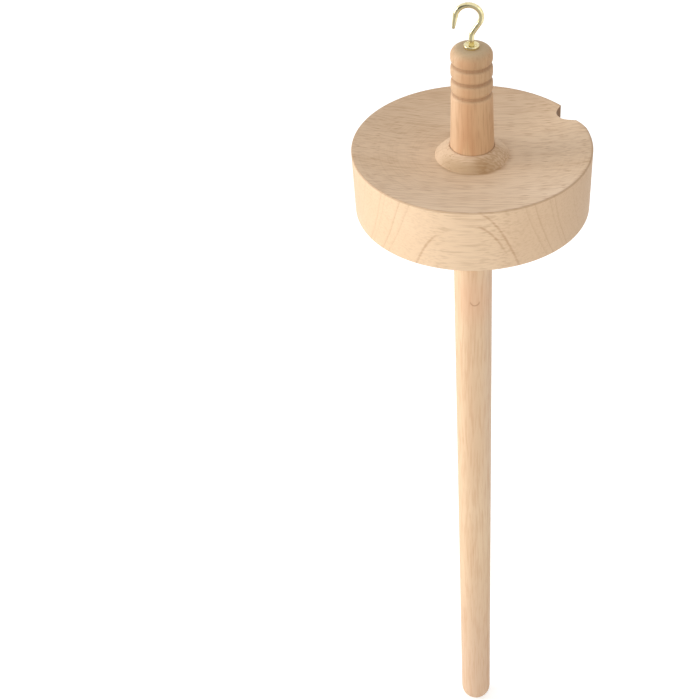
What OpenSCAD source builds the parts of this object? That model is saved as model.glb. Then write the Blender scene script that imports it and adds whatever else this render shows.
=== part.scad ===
// Top whorl drop spindle: a tapered shaft wedged through a dished wooden whorl, with a wire
// cup hook screwed into the shaft's grooved head.
// Millimetres. +Z runs up the spin axis and the origin is at the tip of the shaft.
// The rounded V notch in the rim, with its eased corners, is the feature that took most working out.

/* [Shaft] */
// Length of the wood, from the tip to the flat top of the head
shaft_len = 290.8; // [270:0.1:340]
// Diameter just above the round tip
tip_d = 10.9; // [9:0.1:12.4]
// Diameter where the shaft comes out under the whorl
shank_d = 12.9; // [12:0.1:13.8]
// Diameter where the shaft leaves the boss, which is its thickest place
seat_d = 14; // [13.4:0.1:16]
// Diameter just under the lowest groove
neck_d = 13.2; // [12.8:0.1:14]

/* [Grooved head] */
// Diameter of the beads
head_d = 13.2; // [12.6:0.1:14]
// Rounding of the head's top edge
head_round = 2.6; // [1:0.1:3]
// Height of the top bead, from the first groove to the flat top
cap_h = 5.3; // [5.2:0.1:7]
// Number of grooves
groove_count = 3; // [1:1:4]
// Distance from one groove to the next
groove_pitch = 5; // [4.5:0.1:6]
// Depth of a groove below the beads
groove_depth = 0.5; // [0.3:0.05:0.9]
// Rounding of the beads on both sides of a groove
bead_round = 1.6; // [0.9:0.1:2.3]

/* [Whorl] */
// Diameter of the whorl at the top of its rim
whorl_d = 76.7; // [60:0.1:100]
// Height of the rim
whorl_t = 21.8; // [14:0.1:28]
// How much the rim's radius shrinks from its top to the underside
rim_draft = 0.6; // [0.2:0.1:2]
// Length of shaft that stands above the boss
upper_len = 34.7; // [26:0.1:60]
// Rounding of the rim's two edges
rim_round = 0.4; // [0.3:0.1:2]
// Width of the flat ring between the rim's rounding and the dish
rim_land = 0.3; // [0.1:0.05:4]
// Depth of the dished upper face at its centre
dish_depth = 3.4; // [1.5:0.1:6]
// Diameter of the boss where it rises out of the dish
boss_d = 23.8; // [20:0.1:32]
// Height of the boss above the rim
boss_rise = 0.6; // [0:0.1:4]
// Radius of the boss's rounded flank
flank_r = 12; // [8:0.5:40]
// Chamfer at both mouths of the whorl's bore
mouth_ease = 0.15; // [0.1:0.05:0.6]

/* [Yarn notch] */
// Direction of the notch, counted from +X
notch_at = 32; // [0:0.5:360]
// Angle between the notch's two walls
notch_angle = 89; // [70:1:110]
// Depth of the notch
notch_depth = 4.9; // [3:0.1:8]
// Radius at the root of the notch
notch_root = 4.7; // [1:0.1:5.2]
// Rounding where the notch's walls meet the rim
notch_ease = 2.8; // [0.3:0.1:3.2]

/* [Hook] */
// Diameter of the wire
wire_d = 1.75; // [1.3:0.05:1.8]
// Height of the straight stem, from the head to the first bend
stem_h = 3.2; // [2:0.1:8]
// Radius of the first bend, along the middle of the wire
bend_r = 4.5; // [2:0.1:6]
// Lean of the wire after the first bend
lean = 34; // [15:1:40]
// Length of the leaning straight
lean_len = 2.9; // [1.5:0.1:8]
// Radius of the loop, along the middle of the wire
loop_r = 3.95; // [3.2:0.05:6]
// Outward slant of the free leg
leg_flare = 9; // [0:1:20]
// Length of the free leg
leg_len = 4.2; // [2:0.1:6.5]
// Diameter of the wire at its round tip
wire_tip_d = 1; // [0.8:0.05:1.3]

/* [Hook screw] */
// Outside diameter of the screw thread
screw_d = 1.9; // [1.85:0.05:2.6]
// Length of the screw, with its point
screw_len = 12; // [8:0.5:16]
// Length of the screw's point
point_len = 2.5; // [1:0.1:4]
// Depth left free in the pilot hole under the point
pilot_spare = 1.5; // [0.5:0.1:4]

/* [Hook collar] */
// Diameter of the collar
collar_d = 4.9; // [4:0.1:7]
// Height of the collar's lip
collar_h = 1; // [0.8:0.1:2]
// Thickness of the collar's floor at its centre
collar_floor = 0.45; // [0.3:0.05:0.6]
// Rounding of the collar's lip
lip_round = 0.35; // [0.2:0.05:0.45]
// Rounding of the collar's foot
foot_round = 0.15; // [0.05:0.05:0.3]

/* [Fits] */
// Glue film between the shaft and the whorl's bore
glue_gap = 0.03; // [0.01:0.01:0.05]
// Radial clearance of the screw in its pilot hole and of the wire in the collar
screw_gap = 0.05; // [0.02:0.01:0.1]

/* [Hidden] */
$fn = 120;

beech = [0.80, 0.64, 0.47];
brass = [0.80, 0.68, 0.36];

// How far a cutter runs past the face that it cuts
past = 1;
// How far the wire's straights run into its bends, and the small step where two pieces of an outline meet
lap = 0.2;
hair = 0.02;

// Radii of the shaft
tip_r = tip_d / 2;
shank_r = shank_d / 2;
seat_r = seat_d / 2;
neck_r = neck_d / 2;
head_r = head_d / 2;

// Heights on the shaft
boss_top = whorl_t + boss_rise;
seat_top_z = shaft_len - upper_len;
whorl_z = seat_top_z - boss_top;
groove_low_z = shaft_len - cap_h - (groove_count - 1) * groove_pitch;
neck_top_z = groove_low_z - bead_round;

// Wall of the rim, which narrows downwards, and the centres of its two edge roundings
whorl_r = whorl_d / 2;
rim_tilt = atan(rim_draft / whorl_t);
rim_out = [cos(rim_tilt), -sin(rim_tilt)];
rim_high = [rim_wall_r(whorl_t - rim_round) - rim_round / cos(rim_tilt), whorl_t - rim_round];
rim_low = [rim_wall_r(rim_round) - rim_round / cos(rim_tilt), rim_round];

// Radius and height of the dish, which is a part of a large ball
dish_edge_r = whorl_r - rim_round - rim_land;
dish_r = (dish_edge_r * dish_edge_r + dish_depth * dish_depth) / (2 * dish_depth);
dish_centre_z = whorl_t - dish_depth + dish_r;

// Flank of the boss, from its foot in the dish up to the mouth of the bore
boss_r = boss_d / 2;
boss_foot = [boss_r, dish_centre_z - sqrt(dish_r * dish_r - boss_r * boss_r)];
boss_lip = [seat_r + glue_gap + 2 * mouth_ease, boss_top];
flank_half = norm(boss_lip - boss_foot) / 2;
flank_along = (boss_lip - boss_foot) / (2 * flank_half);
flank_out = [flank_along[1], -flank_along[0]];
flank_centre = (boss_foot + boss_lip) / 2 - flank_out * sqrt(flank_r * flank_r - flank_half * flank_half);

// Notch in plan, along its own middle line: the root's centre and the walls' virtual corner
notch_half = notch_angle / 2;
wall_way = [cos(notch_half), sin(notch_half)];
wall_side = [-sin(notch_half), cos(notch_half)];
root_u = whorl_r - notch_depth + notch_root;
corner_u = root_u - notch_root / sin(notch_half);
root_end = [corner_u, 0] + wall_way * notch_root / tan(notch_half);
// The easing circle touches the wall and runs a hair past the rim, where it leaves a fine edge
ease_base = [corner_u, 0] + wall_side * notch_ease;
ease_middle = corner_u * cos(notch_half);
ease_reach = whorl_r - notch_ease + hair;
ease_along = sqrt(ease_middle * ease_middle - ease_base * ease_base + ease_reach * ease_reach) - ease_middle;
ease_centre = ease_base + wall_way * ease_along;
ease_wall = ease_centre - wall_side * notch_ease;
ease_out = ease_centre * (whorl_r + past) / ease_reach;

// Hook in its own plane: [across, above the head]
bend_end = [bend_r * (1 - cos(lean)), stem_h + bend_r * sin(lean)];
loop_start = bend_end + lean_len * [sin(lean), cos(lean)];
loop_centre = loop_start - loop_r * [cos(lean), -sin(lean)];
loop_turn = 180 + lean - leg_flare;
straight_d = wire_d - hair;
leg_start = loop_centre + loop_r * [-cos(leg_flare), sin(leg_flare)];

// Hollow of the collar, which is a part of a ball
collar_r = collar_d / 2;
collar_edge_r = collar_r - lip_round;
collar_dip = collar_h - collar_floor;
collar_dish_r = (collar_edge_r * collar_edge_r + collar_dip * collar_dip) / (2 * collar_dip);

// One band of a turned profile, from height low to height high, with rounded outer corners
module rounded_band(low, high, r, low_round, high_round) {
    middle = (low + high) / 2;
    translate([0, low])
        square([r - low_round, middle - low]);
    translate([0, middle])
        square([r - high_round, high - middle]);
    translate([0, low + low_round])
        square([r, high - low - low_round - high_round]);
    translate([r - low_round, low + low_round])
        circle(low_round);
    translate([r - high_round, high - high_round])
        circle(high_round);
}

// Half outline of the shaft: round tip, long taper, wedge seat, neck and beads
module shaft_profile() {
    intersection() {
        translate([0, tip_r])
            circle(tip_r);
        square([tip_r, tip_r]);
    }
    polygon([
        [0, tip_r],
        [tip_r, tip_r],
        [shank_r, whorl_z],
        [seat_r, seat_top_z],
        [neck_r, neck_top_z],
        [0, neck_top_z]
    ]);
    // The neck's shoulder under the lowest groove
    translate([0, neck_top_z])
        square([neck_r - bead_round, bead_round]);
    translate([neck_r - bead_round, neck_top_z])
        circle(bead_round);
    // The core that the grooves are cut down to
    translate([0, neck_top_z])
        square([head_r - groove_depth, shaft_len - cap_h - neck_top_z + bead_round]);
    if (groove_count > 1)
        for (i = [1 : groove_count - 1])
            rounded_band(groove_low_z + (i - 1) * groove_pitch, groove_low_z + i * groove_pitch,
                head_r, bead_round, bead_round);
    rounded_band(shaft_len - cap_h, shaft_len, head_r, bead_round, head_round);
}

// Turned shaft with the pilot hole for the hook's screw in its head
module shaft() {
    color(beech)
    difference() {
        rotate_extrude()
            shaft_profile();
        translate([0, 0, shaft_len - screw_len - pilot_spare])
            cylinder(h = screw_len + pilot_spare + past, d = screw_d + 2 * screw_gap);
    }
}

// Radius of the rim's wall at a height above the underside
function rim_wall_r(z) = whorl_r - rim_draft * (1 - z / whorl_t);

// Half outline of the solid disc, with both edges of its rim rounded
module rim_profile() {
    polygon([
        [0, 0],
        [rim_low[0], 0],
        rim_low + (rim_round - hair) * rim_out,
        rim_high + (rim_round - hair) * rim_out,
        [rim_high[0], whorl_t],
        [0, whorl_t]
    ]);
    translate(rim_low)
        circle(rim_round);
    translate(rim_high)
        circle(rim_round);
}

// Radius of the whorl's bore at a height above the underside; it follows the shaft's wedge seat
function bore_r(z) = shank_r + (seat_r - shank_r) * z / boss_top + glue_gap;

// Half outline of the whorl: rim, dish, low round boss and wedge bore
module whorl_profile() {
    difference() {
        union() {
            difference() {
                rim_profile();
                translate([0, dish_centre_z])
                    circle(dish_r);
            }
            intersection() {
                translate([0, whorl_t / 2])
                    square([boss_r + past, boss_top - whorl_t / 2]);
                translate(flank_centre)
                    circle(flank_r);
            }
        }
        polygon([
            [0, -past],
            [bore_r(0) + mouth_ease + past, -past],
            [bore_r(mouth_ease), mouth_ease],
            [bore_r(boss_top - mouth_ease), boss_top - mouth_ease],
            [bore_r(boss_top) + mouth_ease + past, boss_top + past],
            [0, boss_top + past]
        ]);
    }
}

// Plan of the yarn notch: two walls, a round root, and corners that are eased into the rim
module notch_plan() {
    flip = [[1, 0], [0, -1]];
    difference() {
        polygon([
            root_end,
            ease_wall,
            ease_centre,
            ease_out,
            flip * ease_out,
            flip * ease_centre,
            flip * ease_wall,
            flip * root_end
        ]);
        translate(ease_centre)
            circle(notch_ease + hair);
        translate(flip * ease_centre)
            circle(notch_ease + hair);
    }
    translate([root_u, 0])
        circle(notch_root + hair);
}

// Turned whorl with one notch through the rim, which keeps the yarn from slipping round
module whorl() {
    color(beech)
    translate([0, 0, whorl_z])
    difference() {
        rotate_extrude()
            whorl_profile();
        translate([0, 0, -past])
            rotate([0, 0, notch_at])
                linear_extrude(height = whorl_t + 2 * past)
                    notch_plan();
    }
}

// A piece of bent wire in the hook's plane, turned about its own centre
module wire_bend(centre, r, from, turn) {
    translate([centre[0], 0, centre[1]])
        rotate([90, 0, 0])
            rotate([0, 0, from])
                rotate_extrude(angle = turn)
                    translate([r, 0])
                        circle(d = wire_d);
}

// A straight piece of wire in the hook's plane, leaning from upright towards +X
module wire_straight(start, slant, length, end_d) {
    translate([start[0], 0, start[1]])
        rotate([0, slant, 0])
            translate([0, 0, -lap])
                cylinder(h = lap + length, d1 = straight_d, d2 = end_d);
}

// Cup hook of one wire: screw, stem, lean, loop and a free leg that ends in a round tip
module hook() {
    color(brass)
    translate([0, 0, shaft_len]) {
        translate([0, 0, -screw_len])
            cylinder(h = point_len, d1 = 0, d2 = screw_d);
        translate([0, 0, point_len - screw_len])
            cylinder(h = screw_len - point_len, d = screw_d);
        wire_straight([0, 0], 0, stem_h + lap, straight_d);
        wire_bend([bend_r, stem_h], bend_r, 180 - lean, lean);
        wire_straight(bend_end, lean, lean_len + lap, straight_d);
        wire_bend(loop_centre, loop_r, -lean, loop_turn);
        wire_straight(leg_start, 180 + leg_flare, leg_len, wire_tip_d);
        translate([leg_start[0], 0, leg_start[1]])
            rotate([0, 180 + leg_flare, 0])
                translate([0, 0, leg_len])
                    sphere(d = wire_tip_d);
    }
}

// Pressed cup that the hook's stem passes through and that bears on the head
module hook_collar() {
    color(brass)
    translate([0, 0, shaft_len])
    rotate_extrude()
        difference() {
            rounded_band(0, collar_h, collar_r, foot_round, lip_round);
            translate([0, collar_floor + collar_dish_r])
                circle(collar_dish_r);
            translate([0, -past])
                square([wire_d / 2 + screw_gap, collar_h + 2 * past]);
        }
}

shaft();
whorl();
hook();
hook_collar();
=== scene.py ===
# Looks of a top whorl drop spindle: beech shaft and whorl, brass collar and hook.
# Metres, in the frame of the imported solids: +Z up the spin axis, origin at the tip of the shaft.
import bpy
import math
import mathutils
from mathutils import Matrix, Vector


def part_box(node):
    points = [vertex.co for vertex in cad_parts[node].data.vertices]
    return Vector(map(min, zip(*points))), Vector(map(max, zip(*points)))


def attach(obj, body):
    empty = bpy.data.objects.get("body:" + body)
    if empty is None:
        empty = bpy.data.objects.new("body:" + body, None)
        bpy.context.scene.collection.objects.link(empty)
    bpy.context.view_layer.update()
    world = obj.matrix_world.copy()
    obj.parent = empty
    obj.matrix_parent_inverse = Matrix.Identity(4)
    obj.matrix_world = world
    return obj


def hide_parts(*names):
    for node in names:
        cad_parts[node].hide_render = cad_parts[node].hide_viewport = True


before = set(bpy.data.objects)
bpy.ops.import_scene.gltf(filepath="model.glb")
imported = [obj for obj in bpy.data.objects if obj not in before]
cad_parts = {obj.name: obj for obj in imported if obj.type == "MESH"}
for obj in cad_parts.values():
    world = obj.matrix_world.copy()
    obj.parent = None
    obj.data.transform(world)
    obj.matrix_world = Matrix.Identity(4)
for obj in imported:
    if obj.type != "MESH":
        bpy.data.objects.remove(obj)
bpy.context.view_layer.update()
mm = 0.001


# Shaft
# One turned stick of beech, tapered below the whorl and grooved at its head, with the grain along it.
# It is sanded and left bare, and its wedge seat is glued into the whorl.

def paint(red, green, blue):
    """A colour as it is read on a screen, from 0 to 255, made linear for the shader."""
    parts = []
    for part in (red, green, blue):
        share = part / 255
        parts.append(share / 12.92 if share <= 0.04045 else ((share + 0.055) / 1.055) ** 2.4)
    return (*parts, 1.0)


def add_node(tree, kind, inputs, **settings):
    """A shader node; inputs gives each socket a number, a colour or the output of another node."""
    made = tree.nodes.new(kind)
    for name, value in settings.items():
        setattr(made, name, value)
    for name, value in inputs.items():
        if isinstance(value, bpy.types.NodeSocket):
            tree.links.new(value, made.inputs[name])
        else:
            made.inputs[name].default_value = value
    return made


def reckon(tree, operation, first, second=0.0):
    """One step of arithmetic."""
    return add_node(tree, "ShaderNodeMath", {0: first, 1: second}, operation=operation).outputs[0]


def arrow(tree, operation, first, second=(0, 0, 0), output=0):
    """One step of arithmetic on places and directions."""
    made = add_node(tree, "ShaderNodeVectorMath", {0: first, 1: second}, operation=operation)
    return made.outputs[output]


def stretch(tree, place, along, across):
    """A place scaled along the grain, which is X here, and across it."""
    return arrow(tree, "MULTIPLY", place, (along, across, across))


def fade(tree, value, start, end, low=0.0, high=1.0):
    """A soft step from low, where the value is at start, to high, where it is at end."""
    step = add_node(
        tree,
        "ShaderNodeMapRange",
        {"Value": value, "From Min": start, "From Max": end, "To Min": low, "To Max": high},
        interpolation_type="SMOOTHSTEP",
    )
    return step.outputs[0]


def lay_over(tree, amount, below, above):
    """One colour laid over another by an amount from 0 to 1."""
    mixed = add_node(tree, "ShaderNodeMix", {0: amount, 6: below, 7: above}, data_type="RGBA")
    return mixed.outputs[2]


def noise(tree, place, detail, output):
    """Soft noise with one lump to each unit of the place."""
    made = add_node(tree, "ShaderNodeTexNoise", {"Vector": place, "Scale": 1.0, "Detail": detail})
    return made.outputs[output]


def make_beech_figure():
    """Figure of beech in the round: X runs along the grain, and Y and Z are counted from the pith."""
    group = bpy.data.node_groups.new("beech_figure", "ShaderNodeTree")
    group.interface.new_socket("Place", in_out="INPUT", socket_type="NodeSocketVector")
    group.interface.new_socket("Ring gap", in_out="INPUT", socket_type="NodeSocketFloat")
    for name in ("Radius", "Ring", "Fleck", "Fibre", "Mottle"):
        group.interface.new_socket(name, in_out="OUTPUT", socket_type="NodeSocketFloat")
    given = group.nodes.new("NodeGroupInput")
    place = given.outputs["Place"]

    # The stem grew a little crooked, so the whole figure waves
    wave_size = 0.7 * mm
    lumps = noise(group, stretch(group, place, 22, 45), 1.0, "Color")
    sway = arrow(group, "SUBTRACT", lumps, (0.5, 0.5, 0.5))
    push = arrow(group, "MULTIPLY", sway, (2 * wave_size, 2 * wave_size, 2 * wave_size))
    waved = arrow(group, "ADD", place, push)

    # Growth rings: each year darkens slowly and ends in a fine line, and a few years are strong
    radius = arrow(group, "LENGTH", stretch(group, waved, 0, 1), output="Value")
    years = reckon(group, "DIVIDE", radius, given.outputs["Ring gap"])
    uneven = add_node(
        group,
        "ShaderNodeTexNoise",
        {"W": reckon(group, "MULTIPLY", radius, 150.0), "Scale": 1.0},
        noise_dimensions="1D",
    )
    years = reckon(group, "ADD", years, uneven.outputs[0])
    season = reckon(group, "FRACT", years)
    late = reckon(group, "MULTIPLY", reckon(group, "POWER", season, 5.0), fade(group, season, 1.0, 0.9))
    year = reckon(group, "FLOOR", years)
    luck = add_node(group, "ShaderNodeTexWhiteNoise", {"W": year}, noise_dimensions="1D")
    strength = fade(group, luck.outputs["Value"], 0.55, 1.0, 0.1, 1.8)
    ring = reckon(group, "MULTIPLY", late, strength)

    # Flecks: short dark spindles along the grain, which show as dots on the end grain
    fleck_length = 6 * mm
    fleck_width = 0.45 * mm
    cells = add_node(
        group,
        "ShaderNodeTexVoronoi",
        {"Vector": stretch(group, waved, 1 / fleck_length, 1 / fleck_width), "Scale": 1.0},
    )
    spindle = fade(group, cells.outputs["Distance"], 0.45, 0.08)
    cell_luck = add_node(group, "ShaderNodeSeparateColor", {0: cells.outputs["Color"]}).outputs[0]
    fleck = reckon(group, "MULTIPLY", spindle, fade(group, cell_luck, 0.45, 1.0))

    fibre = noise(group, stretch(group, waved, 100, 1700), 2.0, 0)
    mottle = noise(group, stretch(group, place, 18, 50), 2.0, 0)
    add_node(group, "NodeGroupOutput", {
        "Radius": radius,
        "Ring": ring,
        "Fleck": fleck,
        "Fibre": fibre,
        "Mottle": mottle,
    })
    return group


beech_figure = make_beech_figure()


def start_beech(name, grain_turn, pith, ring_gap):
    """A beech material as far as its figure: its tree, the figure, and the places and normals."""
    material = bpy.data.materials.new(name)
    material.use_nodes = True
    tree = material.node_tree
    where = tree.nodes.new("ShaderNodeTexCoord").outputs
    log = add_node(tree, "ShaderNodeMapping", {
        "Vector": where["Object"],
        "Rotation": grain_turn,
        "Location": [-part for part in pith],
    })
    figure = add_node(tree, "ShaderNodeGroup", {}, node_tree=beech_figure)
    tree.links.new(log.outputs[0], figure.inputs["Place"])
    figure.inputs["Ring gap"].default_value = ring_gap
    return material, tree, figure.outputs, where


def dress_beech(tree, figure, tones, grounds, marks):
    """Lays the grounds, the figure and the marks over each other, and gives the piece a fine relief."""
    colour = lay_over(tree, fade(tree, figure["Mottle"], 0.3, 0.7), tones["pale"], tones["warm"])
    for amount, tone in grounds:
        colour = lay_over(tree, amount, colour, tone)
    streak = fade(tree, figure["Fibre"], 0.42, 0.72, 0.0, tones["fibre_depth"])
    colour = lay_over(tree, streak, colour, tones["fleck"])
    ring = reckon(tree, "MULTIPLY", figure["Ring"], tones["ring_depth"])
    colour = lay_over(tree, ring, colour, tones["ring"])
    fleck = reckon(tree, "MULTIPLY", figure["Fleck"], tones["fleck_depth"])
    colour = lay_over(tree, fleck, colour, tones["fleck"])
    for amount, tone in marks:
        colour = lay_over(tree, amount, colour, tone)
    hollow = reckon(tree, "ADD", figure["Fleck"], reckon(tree, "MULTIPLY", figure["Fibre"], 0.5))
    pores = {"Strength": 0.2, "Distance": 0.05 * mm, "Height": hollow}
    relief = add_node(tree, "ShaderNodeBump", pores, invert=True)
    shader = tree.nodes["Principled BSDF"]
    shader.inputs["Specular IOR Level"].default_value = 0.3
    tree.links.new(colour, shader.inputs["Base Color"])
    tree.links.new(fade(tree, figure["Fibre"], 0.3, 0.7, 0.56, 0.68), shader.inputs["Roughness"])
    tree.links.new(relief.outputs[0], shader.inputs["Normal"])


def split(tree, place):
    """The three parts of a place or a direction."""
    return add_node(tree, "ShaderNodeSeparateXYZ", {0: place}).outputs


def end_grain(tree, where, axis):
    """How squarely a face lies across the grain, from 0 to 1."""
    facing = reckon(tree, "ABSOLUTE", split(tree, where["Normal"])[axis])
    return reckon(tree, "POWER", facing, 3.0)


head_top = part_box("shaft")[1].z
groove_low = head_top - 15.3 * mm
groove_pitch = 5 * mm
groove_high = groove_low + 2 * groove_pitch
groove_half = 1.1 * mm
seam_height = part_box("whorl")[1].z
knot_place = (0.6 * mm, -6.6 * mm, 198.6 * mm)
knot_radius = 1.6 * mm

shaft_beech, tree, figure, where = start_beech(
    "shaft_beech",
    grain_turn=(0, math.radians(90), 0),
    pith=(0, 0.034, -0.009),
    ring_gap=2.4 * mm,
)
height = split(tree, where["Object"])["Z"]
aside = split(tree, where["Object"])["X"]

# The three grooves are painted darker: partly dust, partly painted shade under the beads
over_groove = reckon(tree, "SUBTRACT", height, groove_low)
from_groove = reckon(tree, "PINGPONG", over_groove, groove_pitch / 2)
over_lowest = fade(tree, height, groove_low - 2 * groove_half, groove_low - groove_half)
under_highest = fade(tree, height, groove_high + 2 * groove_half, groove_high + groove_half)
on_grooves = reckon(tree, "MULTIPLY", over_lowest, under_highest)
groove_dust_and_shade_depth = fade(tree, from_groove, groove_half, 0.2 * mm, 0.0, 0.45)
groove_dust_and_shade = reckon(tree, "MULTIPLY", on_grooves, groove_dust_and_shade_depth)

# The neck is painted darker than the shaft below, as painted shade, and paler on its left, as a painted
# highlight
above_whorl = fade(tree, height, seam_height - 8 * mm, seam_height + 2 * mm)
neck_painted_shade = reckon(tree, "MULTIPLY", above_whorl, 0.75)
neck_left_painted_light = reckon(tree, "MULTIPLY", above_whorl, fade(tree, aside, -1 * mm, -6 * mm, 0.0, 0.45))

# The head has painted shade, darker again and most of all in front, and it is greyer on its end grain
head_painted_shade = fade(tree, height, groove_low, groove_low + 2 * mm, 0.0, 0.4)
on_head = fade(tree, height, groove_high, groove_high + groove_half)
off_middle = reckon(tree, "ABSOLUTE", aside)
head_front_painted_shade = reckon(tree, "MULTIPLY", on_head, fade(tree, off_middle, 5 * mm, 2 * mm, 0.0, 0.3))
end_tone = reckon(tree, "MULTIPLY", end_grain(tree, where, "Z"), 0.7)

# The shaft's rings are faint on its right; below the whorl it has painted light there, and it is darker
# at its tip
ring_depth = fade(tree, aside, 3 * mm, 5 * mm, 0.75, 0.25)
below_whorl = fade(tree, height, seam_height, seam_height - 20 * mm)
upper_shaft = reckon(tree, "MULTIPLY", below_whorl, fade(tree, height, 70 * mm, 140 * mm))
shaft_right_painted_light = reckon(tree, "MULTIPLY", upper_shaft, fade(tree, aside, 1.5 * mm, 6 * mm, 0.0, 0.35))
tip_shade = fade(tree, height, 90 * mm, 10 * mm, 0.0, 0.45)

# One pin knot shows in front below the whorl: a small dark arc with rosy wood around it
knot_way = arrow(tree, "SUBTRACT", where["Object"], knot_place)
from_knot = arrow(tree, "LENGTH", knot_way, output="Value")
from_arc = reckon(tree, "ABSOLUTE", reckon(tree, "SUBTRACT", from_knot, knot_radius))
below_knot = fade(tree, split(tree, knot_way)["Z"], 0.3 * mm, -0.8 * mm)
knot_arc = reckon(tree, "MULTIPLY", below_knot, fade(tree, from_arc, 0.4 * mm, 0.05 * mm, 0.0, 0.5))
knot_blush = fade(tree, from_knot, 14 * mm, 3 * mm, 0.0, 0.35)

# A thin dark line runs round the shaft where it leaves the whorl: partly the glue line, partly painted
# shade in the seam
from_seam = reckon(tree, "ABSOLUTE", reckon(tree, "SUBTRACT", height, seam_height))
seam_glue_and_shade = fade(tree, from_seam, 0.4 * mm, 0.1 * mm, 0.0, 0.2)

dress_beech(
    tree, figure,
    tones={
        "pale": paint(232, 203, 168),
        "warm": paint(225, 192, 156),
        "fibre_depth": 0.36,
        "ring": paint(200, 148, 108),
        "ring_depth": ring_depth,
        "fleck": lay_over(tree, above_whorl, paint(202, 154, 116), paint(170, 122, 86)),
        "fleck_depth": 0.35,
    },
    grounds=[
        # painted shade on the neck, and a painted highlight on its left
        (neck_painted_shade, paint(202, 158, 114)),
        (neck_left_painted_light, paint(228, 196, 164)),
        # painted shade on the head
        (head_painted_shade, paint(186, 154, 118)),
        (tip_shade, paint(214, 182, 158)),
        # painted shade on the head's front
        (head_front_painted_shade, paint(168, 136, 100)),
        # painted light on the shaft's right, below the whorl
        (shaft_right_painted_light, paint(238, 218, 196)),
    ],
    marks=[
        (end_tone, paint(196, 176, 144)),
        # dust and painted shade in the grooves
        (groove_dust_and_shade, paint(122, 78, 46)),
        (knot_blush, paint(228, 180, 146)),
        (knot_arc, paint(170, 112, 82)),
        # the glue line with painted shade in the seam
        (seam_glue_and_shade, paint(130, 88, 56)),
    ],
)
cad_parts["shaft"].data.materials.clear()
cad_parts["shaft"].data.materials.append(shaft_beech)


# Whorl
# A disc of beech sawn with the grain across it, turned with a dished face, a low boss and one rim notch.
# It is sanded and left bare, and it is wedged and glued on the shaft.

whorl_low, whorl_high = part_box("whorl")
rim_radius = whorl_high.x
rim_height = 21.8 * mm
rim_top = whorl_low.z + rim_height
rim_draft = 0.6 * mm
rim_round = 0.4 * mm
rim_land = 0.7 * mm
dish_edge = rim_radius - rim_land
dish_depth = 3.4 * mm
dish_radius = (dish_edge ** 2 + dish_depth ** 2) / (2 * dish_depth)
boss_foot = 11.9 * mm
flank_radius = 12 * mm
bore_radius = 7.03 * mm
bore_foot = 6.48 * mm
mouth_ease = 0.15 * mm

# The notch rises from its root by a steep far wall and a slow near wall, which ends in a long shoulder.
# Inside the sound radius the disc stays round
notch_turn = math.radians(32.2)
notch_depth = 4.43 * mm
far_wall_turn = math.radians(8.1)
far_wall_bend = 4
near_wall_turn = math.radians(8.6)
near_wall_bend = 1.8
shoulder_turn = math.radians(16.2)
shoulder_depth = 2.1 * mm
shoulder_bend = 1.1
corner_ease = 0.25 * mm
sound_radius = 31 * mm

# Points closer than this are one point, and edges sharper than this stay sharp
weld_gap = 0.001 * mm
crease_turn = math.radians(35)


def dish_height(radius):
    """Height of the dished face, which is a part of a large ball, at a distance from the axis."""
    inside = min(radius, dish_edge)
    return rim_top - dish_depth + dish_radius - math.sqrt(dish_radius ** 2 - inside ** 2)


def arc_points(middle, radius, start, end, steps):
    """Points along an arc of an outline: (distance from the axis, height)."""
    points = []
    for step in range(steps + 1):
        turn = start + (end - start) * step / steps
        points.append((middle[0] + radius * math.cos(turn), middle[1] + radius * math.sin(turn)))
    return points


def notch_sink(turn):
    """Depth of the notch at a turn from its root: a far wall, a near wall and an eased shoulder."""
    if turn > 0:
        valley = notch_depth * (1 - (turn / far_wall_turn) ** far_wall_bend)
        shoulder = 0.0
    else:
        valley = notch_depth * (1 - (-turn / near_wall_turn) ** near_wall_bend)
        shoulder = shoulder_depth * max(0.0, 1 + turn / shoulder_turn) ** shoulder_bend
    return (valley + shoulder + math.hypot(valley - shoulder, corner_ease)) / 2


# The boss has a round flank, an arc from its foot in the dish up to its lip at the bore
foot = mathutils.Vector((boss_foot, dish_height(boss_foot)))
lip = mathutils.Vector((bore_radius + 2 * mouth_ease, whorl_high.z))
flank_way = (lip - foot).normalized()
flank_rise = math.sqrt(flank_radius ** 2 - (lip - foot).length_squared / 4)
flank_middle = (foot + lip) / 2 - flank_rise * mathutils.Vector((flank_way.y, -flank_way.x))
flank_start = math.atan2(foot.y - flank_middle.y, foot.x - flank_middle.x)
flank_end = math.atan2(lip.y - flank_middle.y, lip.x - flank_middle.x)

# The outline runs from the bore's foot along the underside, up the rim, over the dish and down the bore
quarter = math.pi / 2
low_round = (rim_radius - rim_draft - rim_round, whorl_low.z + rim_round)
high_round = (rim_radius - rim_round, rim_top - rim_round)
outline = [(bore_foot + mouth_ease, whorl_low.z), (sound_radius, whorl_low.z)]
outline += arc_points(low_round, rim_round, -quarter, 0, steps=6)
outline += arc_points(high_round, rim_round, 0, quarter, steps=6)
dish_steps = 32
for step in range(dish_steps):
    distance = dish_edge + (boss_foot - dish_edge) * step / dish_steps
    outline.append((distance, dish_height(distance)))
outline += arc_points(flank_middle, flank_radius, flank_start, flank_end, steps=10)
outline += [
    (bore_radius + mouth_ease, whorl_high.z),
    (bore_radius, whorl_high.z - mouth_ease),
    (bore_foot, whorl_low.z + mouth_ease),
    outline[0],
]

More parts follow.
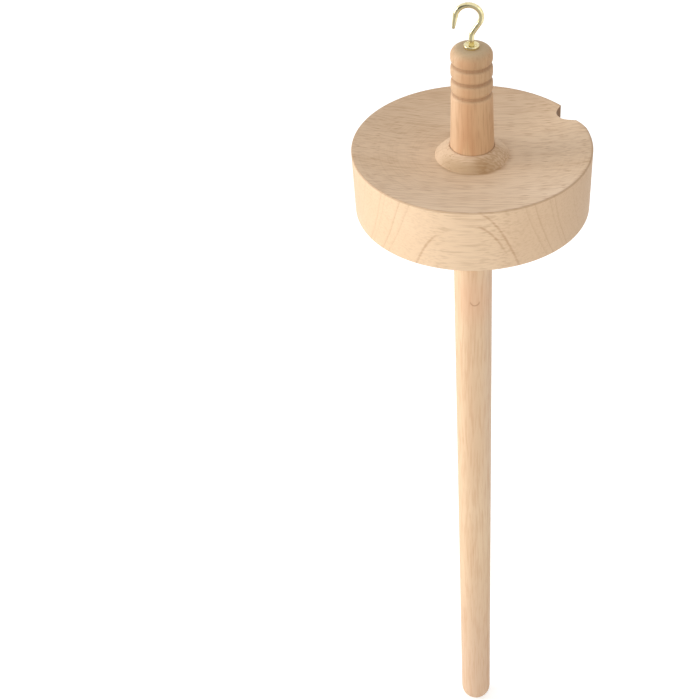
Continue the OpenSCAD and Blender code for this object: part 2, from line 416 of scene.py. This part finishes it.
# It is drawn where the notch's shoulder starts, and turned round the axis: in fine steps to a little
# past the far wall, and in coarse steps beyond
fine_steps = 140
coarse_steps = 250
past_wall = 0.2 * far_wall_turn
notch_start = notch_turn - shoulder_turn
notch_end = notch_turn + far_wall_turn + past_wall
notch_span = notch_end - notch_start
bpy.ops.object.select_all(action="DESELECT")
bpy.ops.mesh.primitive_plane_add(size=mm, location=(
    outline[0][0] * math.cos(notch_start),
    outline[0][0] * math.sin(notch_start),
    outline[0][1],
))
whorl = bpy.context.object
whorl.name = "whorl_disc"
bpy.ops.object.transform_apply(location=True, rotation=True, scale=True)
bpy.ops.object.mode_set(mode="EDIT")
bpy.ops.mesh.select_mode(type="VERT")
bpy.ops.mesh.select_all(action="SELECT")
bpy.ops.mesh.merge(type="CENTER")
for last, place in zip(outline, outline[1:]):
    outward = place[0] - last[0]
    move = (outward * math.cos(notch_start), outward * math.sin(notch_start), place[1] - last[1])
    bpy.ops.mesh.extrude_vertices_move(TRANSFORM_OT_translate={"value": move})
bpy.ops.mesh.select_all(action="SELECT")
for steps, span in ((fine_steps, notch_span), (coarse_steps, 2 * math.pi - notch_span)):
    bpy.ops.mesh.spin(steps=steps, angle=span, center=(0, 0, 0), axis=(0, 0, -1))
bpy.ops.mesh.select_all(action="SELECT")
bpy.ops.mesh.remove_doubles(threshold=weld_gap)
bpy.ops.mesh.normals_make_consistent(inside=False)
bpy.ops.object.mode_set(mode="OBJECT")

# The band outside the sound wood is drawn in along the notch, and its upper face goes down with the dish
for point in whorl.data.vertices:
    turn = math.atan2(point.co.y, point.co.x)
    radius = math.hypot(point.co.x, point.co.y)
    if radius > sound_radius and notch_start < turn < notch_end:
        band_left = rim_radius - notch_sink(turn - notch_turn) - sound_radius
        drawn_in = sound_radius + (radius - sound_radius) * band_left / (rim_radius - sound_radius)
        if point.co.z > rim_top - dish_depth:
            point.co.z += dish_height(drawn_in) - dish_height(radius)
        point.co.x *= drawn_in / radius
        point.co.y *= drawn_in / radius
bpy.ops.object.shade_smooth_by_angle(angle=crease_turn)

whorl_beech, tree, figure, where = start_beech(
    "whorl_beech",
    grain_turn=(0, 0, math.radians(3)),
    pith=(0, 0.09, 0.275),
    ring_gap=1.6 * mm,
)
spot = split(tree, where["Object"])
facing = split(tree, where["Normal"])
flat = add_node(tree, "ShaderNodeCombineXYZ", {"X": spot["X"], "Y": spot["Y"]}).outputs[0]
out_from_axis = arrow(tree, "LENGTH", flat, output="Value")

# The wood is darker toward the pith and paler toward the bark, and its end grain is darker
near_pith = fade(tree, figure["Radius"], 80 * mm, 55 * mm, 0.0, 0.3)
near_bark = fade(tree, figure["Radius"], 100 * mm, 128 * mm, 0.0, 0.4)
across_grain = end_grain(tree, where, "X")
end_tone = reckon(tree, "MULTIPLY", across_grain, 0.25)


def half_arch(middle, top, bend, side, reach):
    """A strong growth ring that shows on the rim as one leg of an arch: left for -1, right for 1."""
    out = reckon(tree, "MULTIPLY", reckon(tree, "SUBTRACT", spot["X"], middle), side)
    drop = reckon(tree, "MULTIPLY", reckon(tree, "MULTIPLY", out, out), bend)
    below_top = reckon(tree, "SUBTRACT", whorl_low.z + top, spot["Z"])
    off_arch = reckon(tree, "ABSOLUTE", reckon(tree, "SUBTRACT", below_top, drop))
    slope = reckon(tree, "MULTIPLY", out, 2 * bend)
    across = add_node(tree, "ShaderNodeCombineXYZ", {"X": slope, "Y": 1}).outputs[0]
    from_arch = reckon(tree, "DIVIDE", off_arch, arrow(tree, "LENGTH", across, output="Value"))
    past_top = fade(tree, out, 1 * mm, 3 * mm)
    leg = reckon(tree, "MULTIPLY", past_top, fade(tree, out, reach, reach - 4 * mm))
    return reckon(tree, "MULTIPLY", leg, fade(tree, from_arch, 0.6 * mm, 0.05 * mm))


# The rim is cut through three strong years, whose arches are broken here and there
inner_left = half_arch(-9 * mm, 13.3 * mm, bend=180, side=-1, reach=13 * mm)
inner_right = half_arch(0, 17 * mm, bend=104, side=1, reach=11.5 * mm)
outer_right = half_arch(0, 22.1 * mm, bend=108, side=1, reach=19 * mm)
arches = reckon(tree, "MAXIMUM", reckon(tree, "MAXIMUM", inner_left, inner_right), outer_right)
on_rim = fade(tree, out_from_axis, rim_radius - 1.2 * mm, rim_radius - 0.4 * mm)
arches = reckon(tree, "MULTIPLY", arches, on_rim)
arches = reckon(tree, "MULTIPLY", arches, fade(tree, spot["Y"], -5 * mm, -15 * mm))
arches = reckon(tree, "MULTIPLY", arches, fade(tree, figure["Fibre"], 0.3, 0.6, 0.2, 0.45))

# The rim has painted shade on its right, and a thin line of painted shade along its rounded top edge
rim_right_painted_shade = reckon(tree, "MULTIPLY", on_rim, fade(tree, spot["X"], 4 * mm, 16 * mm, 0.0, 0.35))
edge_place = add_node(tree, "ShaderNodeCombineXYZ", {
    "X": reckon(tree, "SUBTRACT", out_from_axis, rim_radius - 0.3 * rim_round),
    "Y": reckon(tree, "SUBTRACT", spot["Z"], rim_top - 0.3 * rim_round),
}).outputs[0]
from_edge = arrow(tree, "LENGTH", edge_place, output="Value")
rim_edge_painted_shade = fade(tree, from_edge, 0.6 * mm, 0.15 * mm, 0.0, 0.45)

# The boss has painted shade: a soft painted shadow along its foot in front, and streaks of painted shade
# on its right side
round_the_axis = arrow(tree, "NORMALIZE", flat)
in_front = arrow(tree, "DOT_PRODUCT", round_the_axis, (-0.15, -0.99, 0), output="Value")
at_right = arrow(tree, "DOT_PRODUCT", round_the_axis, (0.75, -0.66, 0), output="Value")
in_foot = fade(tree, out_from_axis, boss_foot - 4.5 * mm, boss_foot - 1.2 * mm)
off_foot = fade(tree, out_from_axis, boss_foot + 1.8 * mm, boss_foot - 0.4 * mm)
boss_foot_painted_shadow = reckon(tree, "MULTIPLY", in_foot, off_foot)
boss_foot_painted_shadow = reckon(tree, "MULTIPLY", boss_foot_painted_shadow, fade(tree, in_front, 0.35, 0.95, 0.0, 0.5))
boss_right_painted_shade = reckon(tree, "MULTIPLY", off_foot, fade(tree, at_right, 0.5, 0.95, 0.0, 0.5))
boss_right_painted_shade = reckon(tree, "MULTIPLY", boss_right_painted_shade, fade(tree, figure["Fibre"], 0.3, 0.65, 0.4, 1.0))

# The upper face has painted shade on its far left, and painted light in front
upward = fade(tree, facing["Z"], 0.6, 0.9)
far_left = arrow(tree, "DOT_PRODUCT", flat, (-0.35, 0.94, 0), output="Value")
far_left_painted_shade = reckon(tree, "MULTIPLY", upward, fade(tree, far_left, 8 * mm, 32 * mm, 0.0, 0.28))
front_painted_light = reckon(tree, "MULTIPLY", upward, fade(tree, spot["Y"], -8 * mm, -26 * mm, 0.0, 0.3))

# Sanding on the lathe has left fine rings on the upper face
mark_gap = 0.7 * mm
uneven = add_node(
    tree,
    "ShaderNodeTexNoise",
    {"W": reckon(tree, "DIVIDE", out_from_axis, mark_gap), "Scale": 1.0},
    noise_dimensions="1D",
).outputs[0]
turning_marks = reckon(tree, "MULTIPLY", upward, fade(tree, uneven, 0.45, 0.75, 0.0, 0.12))
turning_marks = reckon(tree, "MULTIPLY", turning_marks, fade(tree, figure["Mottle"], 0.35, 0.6))

# The walls of the notch are dark, most of all near their upper edge: partly rubbed by the yarn, partly
# painted shade
notch_middle = (rim_radius * math.cos(notch_turn), rim_radius * math.sin(notch_turn), 0)
from_notch = arrow(tree, "DISTANCE", flat, notch_middle, output="Value")
by_notch = fade(tree, from_notch, 7.5 * mm, 6 * mm)
upright = fade(tree, reckon(tree, "ABSOLUTE", facing["Z"]), 0.6, 0.2)
off_rim = fade(tree, out_from_axis, rim_radius - 0.1 * mm, rim_radius - 0.9 * mm, 0.0, 0.85)
near_top = fade(tree, spot["Z"], rim_top - 13 * mm, rim_top - 3 * mm, 0.5, 1.0)
notch_rub_and_shade = reckon(tree, "MULTIPLY", reckon(tree, "MULTIPLY", by_notch, upright), off_rim)
notch_rub_and_shade = reckon(tree, "MULTIPLY", notch_rub_and_shade, near_top)

# The seam around the shaft is painted darker, as painted shade
bore_seam_painted_shade = fade(tree, out_from_axis, bore_radius + 0.3 * mm, bore_radius, 0.0, 0.3)

dress_beech(
    tree, figure,
    tones={
        "pale": paint(229, 201, 170),
        "warm": paint(223, 193, 160),
        "fibre_depth": fade(tree, across_grain, 0.0, 0.08, 0.32, 0.14),
        "ring": paint(186, 146, 108),
        "ring_depth": 0.3,
        "fleck": paint(172, 132, 96),
        "fleck_depth": fade(tree, facing["Z"], 0.3, 0.9, 0.16, 0.7),
    },
    grounds=[
        (near_pith, paint(204, 168, 134)),
        (near_bark, paint(240, 208, 170)),
        (end_tone, paint(204, 164, 126)),
        # painted shade on the rim's right
        (rim_right_painted_shade, paint(208, 174, 140)),
        # painted shade on the far left of the upper face, and painted light in front
        (far_left_painted_shade, paint(200, 170, 140)),
        (front_painted_light, paint(236, 214, 192)),
    ],
    marks=[
        (arches, paint(178, 132, 94)),
        (turning_marks, paint(172, 136, 102)),
        # painted shadow at the boss's foot, and painted shade on its right
        (boss_foot_painted_shadow, paint(152, 114, 62)),
        (boss_right_painted_shade, paint(160, 116, 66)),
        # painted shade along the rim's top edge
        (rim_edge_painted_shade, paint(164, 128, 94)),
        # the yarn's rub and painted shade on the notch's walls
        (notch_rub_and_shade, paint(112, 72, 34)),
        # painted shade in the seam around the shaft
        (bore_seam_painted_shade, paint(124, 88, 60)),
    ],
)
whorl.data.materials.append(whorl_beech)
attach(whorl, "spindle")
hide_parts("whorl")


# Hook collar
# A small cup pressed from brass sheet and plated bright, threaded on the hook's stem.
# It bears on the flat top of the head.

def make_brass():
    """Bright brass plate with a little tarnish and fine rub marks."""
    material = bpy.data.materials.new("bright_brass")
    material.use_nodes = True
    tree = material.node_tree
    where = tree.nodes.new("ShaderNodeTexCoord").outputs["Object"]
    tarnish = noise(tree, stretch(tree, where, 900, 900), 3.0, 0)
    rubs = noise(tree, stretch(tree, where, 6000, 2500), 2.0, 0)
    colour = lay_over(tree, fade(tree, tarnish, 0.45, 0.75), paint(236, 224, 178), paint(214, 194, 136))
    relief = add_node(tree, "ShaderNodeBump", {"Strength": 0.03, "Distance": 0.02 * mm, "Height": rubs})
    shader = tree.nodes["Principled BSDF"]
    shader.inputs["Metallic"].default_value = 1.0
    tree.links.new(colour, shader.inputs["Base Color"])
    tree.links.new(fade(tree, rubs, 0.3, 0.7, 0.14, 0.22), shader.inputs["Roughness"])
    tree.links.new(relief.outputs[0], shader.inputs["Normal"])
    return material


bright_brass = make_brass()
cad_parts["hook_collar"].data.materials.clear()
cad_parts["hook_collar"].data.materials.append(bright_brass)


# Hook
# One length of brass wire, bent to a hook whose free leg tapers to a round tip.
# A wood screw is cut on its lower end, and it holds the hook in the pilot hole of the head.

wire_radius = 0.86 * mm
wire_sides = 32
stem_height = 3.2 * mm
bend_radius = 4.5 * mm
lean = math.radians(34)
lean_length = 2.9 * mm
loop_radius = 3.95 * mm
leg_flare = math.radians(9)
leg_length = 4.2 * mm
tip_radius = 0.5 * mm

screw_length = 12 * mm
point_length = 2.5 * mm
thread_pitch = 1 * mm
thread_root = 0.64 * mm
thread_crest = 0.94 * mm
screw_shoulder = 0.5 * mm


def draw_out(way):
    """Draws the selected ring of the wire out along a straight."""
    bpy.ops.mesh.extrude_region_move(TRANSFORM_OT_translate={"value": way})


def select_heights(piece, low, high):
    """Selects the points of a piece that lie between two heights, in edit mode."""
    bpy.ops.object.mode_set(mode="OBJECT")
    for face in piece.data.polygons:
        face.select = False
    for edge in piece.data.edges:
        edge.select = False
    for point in piece.data.vertices:
        point.select = low <= point.co.z <= high
    bpy.ops.object.mode_set(mode="EDIT")


# The wire starts as a ring a little below the head, and is drawn out and bent from there
bpy.ops.object.select_all(action="DESELECT")
wire_start = (0, 0, head_top - screw_shoulder)
bpy.ops.mesh.primitive_circle_add(vertices=wire_sides, radius=wire_radius, location=wire_start)
hook = bpy.context.object
hook.name = "hook_wire"
bpy.ops.object.transform_apply(location=True, rotation=True, scale=True)
bpy.ops.object.mode_set(mode="EDIT")
bpy.ops.mesh.select_mode(type="VERT")
bpy.ops.mesh.select_all(action="SELECT")
draw_out((0, 0, screw_shoulder + stem_height))
bend_middle = (bend_radius, 0, head_top + stem_height)
bpy.ops.mesh.spin(steps=10, angle=lean, center=bend_middle, axis=(0, -1, 0))
draw_out((lean_length * math.sin(lean), 0, lean_length * math.cos(lean)))
loop_start_x = bend_radius * (1 - math.cos(lean)) + lean_length * math.sin(lean)
loop_start_z = head_top + stem_height + bend_radius * math.sin(lean) + lean_length * math.cos(lean)
loop_x = loop_start_x - loop_radius * math.cos(lean)
loop_z = loop_start_z + loop_radius * math.sin(lean)
loop_turn = math.pi + lean - leg_flare
bpy.ops.mesh.spin(steps=48, angle=loop_turn, center=(loop_x, 0, loop_z), axis=(0, 1, 0))

# The free leg narrows in steps, and its tip is rounded off to a point
leg_x = loop_x - loop_radius * math.cos(leg_flare)
leg_z = loop_z + loop_radius * math.sin(leg_flare)
leg_steps = 6
last_radius = wire_radius
for step in range(1, leg_steps + 1):
    along = leg_length / leg_steps
    draw_out((-along * math.sin(leg_flare), 0, -along * math.cos(leg_flare)))
    leg_x -= along * math.sin(leg_flare)
    leg_z -= along * math.cos(leg_flare)
    narrow = wire_radius + (tip_radius - wire_radius) * step / leg_steps
    size = narrow / last_radius
    bpy.ops.transform.resize(value=(size, size, size), center_override=(leg_x, 0, leg_z))
    last_radius = narrow
tip_steps = 6
last_turn = 0.0
for step in range(1, tip_steps):
    turn = math.pi / 2 * step / tip_steps
    along = tip_radius * (math.sin(turn) - math.sin(last_turn))
    draw_out((-along * math.sin(leg_flare), 0, -along * math.cos(leg_flare)))
    leg_x -= along * math.sin(leg_flare)
    leg_z -= along * math.cos(leg_flare)
    size = math.cos(turn) / math.cos(last_turn)
    bpy.ops.transform.resize(value=(size, size, size), center_override=(leg_x, 0, leg_z))
    last_turn = turn
along = tip_radius * (1 - math.sin(last_turn))
draw_out((-along * math.sin(leg_flare), 0, -along * math.cos(leg_flare)))
bpy.ops.mesh.merge(type="CENTER")
bpy.ops.object.mode_set(mode="OBJECT")

# One turn of the thread's outline, which the Screw modifier winds up along the screw.
# Each stroke of it goes outward by a length and up by a share of the pitch
bpy.ops.object.select_all(action="DESELECT")
screw_foot = head_top - screw_length
bpy.ops.mesh.primitive_plane_add(size=mm, location=(thread_root, 0, screw_foot - thread_pitch))
thread = bpy.context.object
thread.name = "hook_thread"
bpy.ops.object.transform_apply(location=True, rotation=True, scale=True)
bpy.ops.object.mode_set(mode="EDIT")
bpy.ops.mesh.select_all(action="SELECT")
bpy.ops.mesh.merge(type="CENTER")
crest_rise = thread_crest - thread_root
for outward, share in ((0, 0.3), (crest_rise, 0.3), (0, 0.1), (-crest_rise, 0.3)):
    stroke = (outward, 0, share * thread_pitch)
    bpy.ops.mesh.extrude_vertices_move(TRANSFORM_OT_translate={"value": stroke})
bpy.ops.object.mode_set(mode="OBJECT")
winding = thread.modifiers.new("winding", "SCREW")
winding.axis = "Z"
winding.angle = 2 * math.pi
winding.screw_offset = thread_pitch
winding.iterations = round(screw_length / thread_pitch) + 2
winding.steps = wire_sides
winding.render_steps = wire_sides
winding.use_merge_vertices = True
bpy.ops.object.modifier_apply(modifier="winding")
bpy.ops.object.mode_set(mode="EDIT")
bpy.ops.mesh.select_all(action="SELECT")
bpy.ops.mesh.remove_doubles(threshold=weld_gap)

# It is cut level at both ends, and closed at its foot
for cut, cut_side in ((head_top - 2 * screw_shoulder, 1), (screw_foot, -1)):
    bpy.ops.mesh.select_all(action="SELECT")
    bpy.ops.mesh.bisect(
        plane_co=(0, 0, cut),
        plane_no=(0, 0, cut_side),
        use_fill=cut == screw_foot,
        clear_outer=True,
        threshold=weld_gap,
    )

# The thread runs out to a point in thin bands
bands = 25
hair = 0.0001 * mm
for band in range(bands):
    low = screw_foot + point_length * band / bands
    high = screw_foot + point_length * (band + 1) / bands
    select_heights(thread, low - hair if band == 0 else low, high - hair)
    size = (band + 1.5) / (bands + 1)
    bpy.ops.transform.resize(value=(size, size, 1), center_override=(0, 0, low))
bpy.ops.object.mode_set(mode="OBJECT")

# The wire's open ring is bridged to the open end of the thread
bpy.ops.object.select_all(action="DESELECT")
thread.select_set(True)
hook.select_set(True)
bpy.context.view_layer.objects.active = hook
bpy.ops.object.join()
bpy.ops.object.mode_set(mode="EDIT")
bpy.ops.mesh.select_all(action="DESELECT")
bpy.ops.mesh.select_non_manifold(
    use_wire=False,
    use_multi_face=False,
    use_non_contiguous=False,
    use_verts=False,
)
bpy.ops.mesh.bridge_edge_loops()
bpy.ops.mesh.select_all(action="SELECT")
bpy.ops.mesh.remove_doubles(threshold=weld_gap)
bpy.ops.mesh.normals_make_consistent(inside=False)
bpy.ops.object.mode_set(mode="OBJECT")
bpy.ops.object.shade_smooth_by_angle(angle=crease_turn)
hook.data.materials.append(bright_brass)
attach(hook, "hook")
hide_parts("hook")


# Floor, light and camera
# A plain pale floor under the tip, three large soft lights, and white surroundings.

def seen_directly(tree):
    """1 for what the camera or a mirror sees, and 0 for the light that falls on the object."""
    path = tree.nodes.new("ShaderNodeLightPath").outputs
    return reckon(tree, "MAXIMUM", path["Is Camera Ray"], path["Is Glossy Ray"])


def left_in_mirror(tree, way):
    """The share of light that a direction keeps in bright metal, which mirrors a dark room in front."""
    in_mirror = tree.nodes.new("ShaderNodeLightPath").outputs["Is Glossy Ray"]
    dark_way = (-0.6, -0.75, -0.28)
    toward = arrow(tree, "DOT_PRODUCT", arrow(tree, "NORMALIZE", way), dark_way, output="Value")
    lost = reckon(tree, "MULTIPLY", in_mirror, fade(tree, toward, 0.15, 0.8, 0.0, 0.88))
    return reckon(tree, "SUBTRACT", 1.0, lost)


floor_width = 8
floor_drop = 0.1 * mm
floor_grey = (0.86, 0.86, 0.86, 1)
floor_glow = 0.42
room_light = 0.66
white = (1, 1, 1, 1)
black = (0, 0, 0, 1)

bpy.ops.object.select_all(action="DESELECT")
bpy.ops.mesh.primitive_plane_add(size=floor_width, location=(0, 0, -floor_drop))
floor = bpy.context.object
floor.name = "floor"
bpy.ops.object.transform_apply(location=True, rotation=True, scale=True)
pale = bpy.data.materials.new("pale_floor")
pale.use_nodes = True
tree = pale.node_tree
tree.nodes.remove(tree.nodes["Principled BSDF"])
hook_place = (0, 0, 0.3)
where = tree.nodes.new("ShaderNodeTexCoord").outputs["Object"]
kept_light = left_in_mirror(tree, arrow(tree, "SUBTRACT", where, hook_place))
matt = add_node(tree, "ShaderNodeBsdfDiffuse", {"Color": lay_over(tree, kept_light, black, floor_grey)})
lift = reckon(tree, "MULTIPLY", seen_directly(tree), floor_glow)
glow = add_node(tree, "ShaderNodeEmission", {"Color": white, "Strength": lift})
both = add_node(tree, "ShaderNodeAddShader", {0: matt.outputs[0], 1: glow.outputs[0]})
tree.links.new(both.outputs[0], tree.nodes["Material Output"].inputs["Surface"])
floor.data.materials.append(pale)

world = bpy.data.worlds.new("white_room")
bpy.context.scene.world = world
world.use_nodes = True
tree = world.node_tree
strength = add_node(tree, "ShaderNodeMapRange", {
    "Value": seen_directly(tree),
    "To Min": room_light,
    "To Max": 1.0,
}).outputs[0]
kept_light = left_in_mirror(tree, tree.nodes.new("ShaderNodeTexCoord").outputs["Generated"])
sky = tree.nodes["Background"]
sky.inputs["Color"].default_value = white
tree.links.new(reckon(tree, "MULTIPLY", strength, kept_light), sky.inputs["Strength"])

light_width = 0.7
light_aim = mathutils.Vector((0, 0, 0.2))


def soft_light(name, place, watts, mirrored):
    """A square soft box that faces the object, and that shows in bright metal or not."""
    bpy.ops.object.select_all(action="DESELECT")
    bpy.ops.object.light_add(type="AREA", location=place)
    lamp = bpy.context.object
    lamp.name = name
    lamp.data.shape = "SQUARE"
    lamp.data.size = light_width
    lamp.data.energy = watts
    lamp.visible_glossy = mirrored
    way = light_aim - mathutils.Vector(place)
    lamp.rotation_euler = way.to_track_quat("-Z", "Y").to_euler()


soft_light("key", place=(-1.3, 0, 0.55), watts=11, mirrored=True)
soft_light("front", place=(-0.65, -1.13, 0.55), watts=4.5, mirrored=False)
soft_light("fill", place=(1.13, -0.65, 0.55), watts=1.4, mirrored=True)

# The camera stands in front, looks down on the whorl, and rolls a little about its own axis
camera_place = (0, -0.5164, 0.5764)
tilt = mathutils.Matrix.Rotation(math.radians(52.04), 3, "X")
roll = mathutils.Matrix.Rotation(math.radians(-0.4), 3, "Z")
bpy.ops.object.select_all(action="DESELECT")
bpy.ops.object.camera_add(location=camera_place, rotation=(tilt @ roll).to_euler())
camera = bpy.context.object
camera.name = "photo_camera"
camera.data.sensor_width = 36
camera.data.lens = 98.2
camera.data.shift_x = -0.1766
bpy.context.scene.camera = camera
bpy.context.scene.view_settings.view_transform = "Standard"
